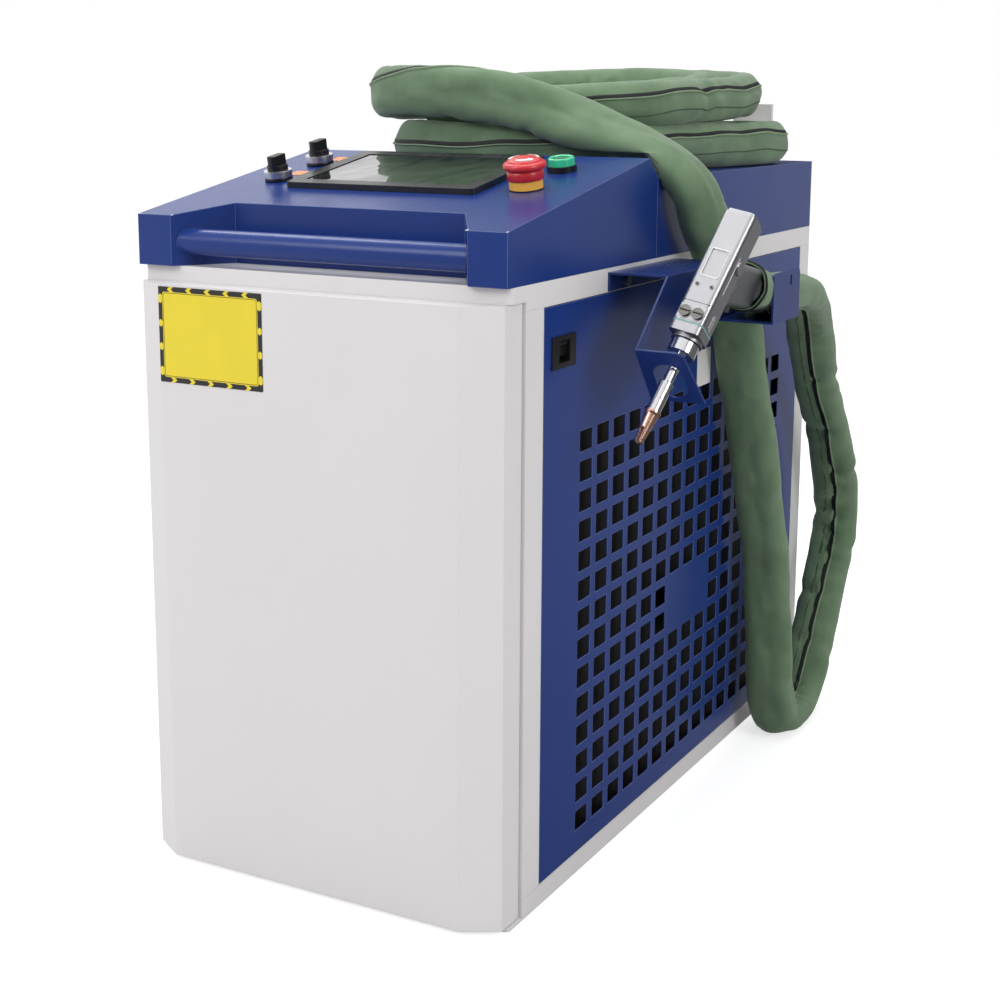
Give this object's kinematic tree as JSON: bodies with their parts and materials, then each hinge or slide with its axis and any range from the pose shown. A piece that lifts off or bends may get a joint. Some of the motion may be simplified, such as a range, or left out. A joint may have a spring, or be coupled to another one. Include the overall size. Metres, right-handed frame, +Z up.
{
  "type": "laser welding machine",
  "caption": "Floor-standing laser welding machine: sheet cabinet, sloped console, grille side, sleeved hose coiled on the deck, and a hand gun in a side holder.",
  "frame": {"origin": "on the floor under the middle of the cabinet, on the underside of the base's cross rail", "axes": "+X to the machine's right, where the gun holder is; +Y to its rear; +Z up"},
  "size_m": [0.5378, 0.8435, 0.7882],
  "materials": {
    "white_coat": "fine powder coat",
    "blue_coat": "satin powder coat",
    "bare_steel": "brushed",
    "bright_metal": "polished",
    "anodised": "fine blasted",
    "copper": "machined",
    "black_plastic": "fine texture",
    "red_plastic": "gloss",
    "yellow_plastic": "gloss",
    "green_plastic": "gloss",
    "blue_plastic": "satin",
    "teal_seal": "satin",
    "screen_glass": "polished",
    "lens_glass": "polished",
    "green_fabric": "coated weave",
    "dark_mesh": "fine net",
    "dark_metal": "semi gloss",
    "tank_plastic": "translucent"
  },
  "bodies": {
    "cabinet": {"base_frame": "white_coat", "floor_plate": "bare_steel", "front_posts": "white_coat", "rear_posts": "white_coat", "top_frame": "white_coat", "front_cover": "white_coat", "right_panel": "blue_coat", "rear_panel": "blue_coat", "right_latch_case": "black_plastic", "console_shell": "blue_coat", "rear_deck": "blue_coat", "handle_bar": "blue_coat", "screen_bezel": "black_plastic", "screen_glass": "screen_glass", "estop_base": "yellow_plastic", "start_ring": "black_plastic", "front_selector_base": "bright_metal", "rear_selector_base": "bright_metal", "gun_holder": "blue_coat", "holder_screws": "bare_steel", "clamp_ring": "bright_metal", "gun_head": "anodised", "gun_gasket": "teal_seal", "gun_body": "anodised", "gun_window": "anodised", "gun_grip": "anodised", "hose_outlet": "white_coat", "hose_coil": "green_fabric", "hose_run": "green_fabric", "filter_mesh": "dark_mesh", "condenser": "dark_metal", "fan_shroud": "dark_metal", "compressor": "dark_metal", "water_tank": "tank_plastic", "water_pump": "dark_metal", "equipment_shelf": "bare_steel", "laser_source": "dark_metal", "power_supply": "anodised"},
    "right_latch": {"right_latch_paddle": "black_plastic"},
    "left_door": {"left_panel": "blue_coat", "left_latch_case": "black_plastic"},
    "left_latch": {"left_latch_paddle": "black_plastic"},
    "estop_plunger": {"estop_plunger": "red_plastic"},
    "estop_cap": {"estop_cap": "red_plastic"},
    "start_button": {"start_button": "green_plastic"},
    "front_selector": {"front_selector_knob": "black_plastic"},
    "rear_selector": {"rear_selector_knob": "black_plastic"},
    "focus_tube": {"scale_tube": "bare_steel", "copper_nozzle": "copper"},
    "lens_drawer": {"lens_drawer": "anodised", "lens_glass": "lens_glass"},
    "left_lock": {"left_lock_screw": "bare_steel"},
    "right_lock": {"right_lock_screw": "bare_steel"},
    "gun_trigger": {"gun_trigger": "black_plastic"},
    "side_button": {"side_button": "bare_steel"},
    "front_fan": {"front_fan": "black_plastic"},
    "rear_fan": {"rear_fan": "black_plastic"},
    "filler_cap": {"filler_cap": "blue_plastic"},
    "main_switch": {"main_switch": "red_plastic"}
  },
  "joints": [
    {"name": "right_latch_pull", "type": "hinge", "parent": "cabinet", "child": "right_latch", "pos_m": [0.1974, -0.288, 0.5324], "axis": [0, -1, 0], "range_deg": [0, 35], "stiffness_Nm_per_rad": 0.05},
    {"name": "left_door_swing", "type": "hinge", "parent": "cabinet", "child": "left_door", "pos_m": [-0.1975, 0.3572, 0.295], "axis": [0, 0, -1], "range_deg": [0, 100]},
    {"name": "left_latch_pull", "type": "hinge", "parent": "left_door", "child": "left_latch", "pos_m": [-0.1974, -0.288, 0.5324], "axis": [0, 1, 0], "range_deg": [0, 35], "stiffness_Nm_per_rad": 0.05},
    {"name": "estop_press", "type": "slide", "parent": "cabinet", "child": "estop_plunger", "axis": [0, 0.1753, -0.9845], "range_m": [0, 0.005]},
    {"name": "estop_twist", "type": "hinge", "parent": "estop_plunger", "child": "estop_cap", "pos_m": [0.137, -0.24482, 0.67792], "axis": [0, -0.1753, 0.9845], "range_deg": [0, 45], "stiffness_Nm_per_rad": 0.05},
    {"name": "start_press", "type": "slide", "parent": "cabinet", "child": "start_button", "axis": [0, 0.1753, -0.9845], "range_m": [0, 0.003], "stiffness_N_per_m": 500},
    {"name": "front_selector_turn", "type": "hinge", "parent": "cabinet", "child": "front_selector", "pos_m": [-0.145, -0.24563, 0.67676], "axis": [0, -0.1753, 0.9845], "range_deg": [-45, 45]},
    {"name": "rear_selector_turn", "type": "hinge", "parent": "cabinet", "child": "rear_selector", "pos_m": [-0.145, -0.17278, 0.68973], "axis": [0, -0.1753, 0.9845], "range_deg": [-45, 45]},
    {"name": "focus_slide", "type": "slide", "parent": "cabinet", "child": "focus_tube", "axis": [0.1908, 0.5574, 0.808], "range_m": [-0.006, 0.006]},
    {"name": "lens_drawer_slide", "type": "slide", "parent": "cabinet", "child": "lens_drawer", "axis": [0.0462, -0.8273, 0.5598], "range_m": [0, 0.02]},
    {"name": "left_lock_turn", "type": "hinge", "parent": "lens_drawer", "child": "left_lock", "pos_m": [0.29469, -0.23235, 0.56209], "axis": [0.0462, -0.8273, 0.5598], "range_deg": [0, 90]},
    {"name": "right_lock_turn", "type": "hinge", "parent": "lens_drawer", "child": "right_lock", "pos_m": [0.30744, -0.23325, 0.5597], "axis": [0.0462, -0.8273, 0.5598], "range_deg": [0, 90]},
    {"name": "trigger_pull", "type": "hinge", "parent": "cabinet", "child": "gun_trigger", "pos_m": [0.3019, -0.14943, 0.56471], "axis": [-0.9612, -0.0608, 0.269], "range_deg": [0, 8], "stiffness_Nm_per_rad": 0.3},
    {"name": "side_button_press", "type": "slide", "parent": "cabinet", "child": "side_button", "axis": [-0.9805, 0.0694, 0.1836], "range_m": [0, 0.0012], "stiffness_N_per_m": 400},
    {"name": "front_fan_spin", "type": "hinge", "parent": "cabinet", "child": "front_fan", "pos_m": [0.1247, -0.11365, 0.23635], "axis": [1, 0, 0], "continuous": true},
    {"name": "rear_fan_spin", "type": "hinge", "parent": "cabinet", "child": "rear_fan", "pos_m": [0.1247, 0.16105, 0.23635], "axis": [1, 0, 0], "continuous": true},
    {"name": "filler_cap_turn", "type": "hinge", "parent": "cabinet", "child": "filler_cap", "pos_m": [-0.11, 0.395, 0.5], "axis": [0, 1, 0], "range_deg": [-90, 0]},
    {"name": "main_switch_turn", "type": "hinge", "parent": "cabinet", "child": "main_switch", "pos_m": [0.105, 0.395, 0.5], "axis": [0, -1, 0], "range_deg": [0, 90]}
  ]
}
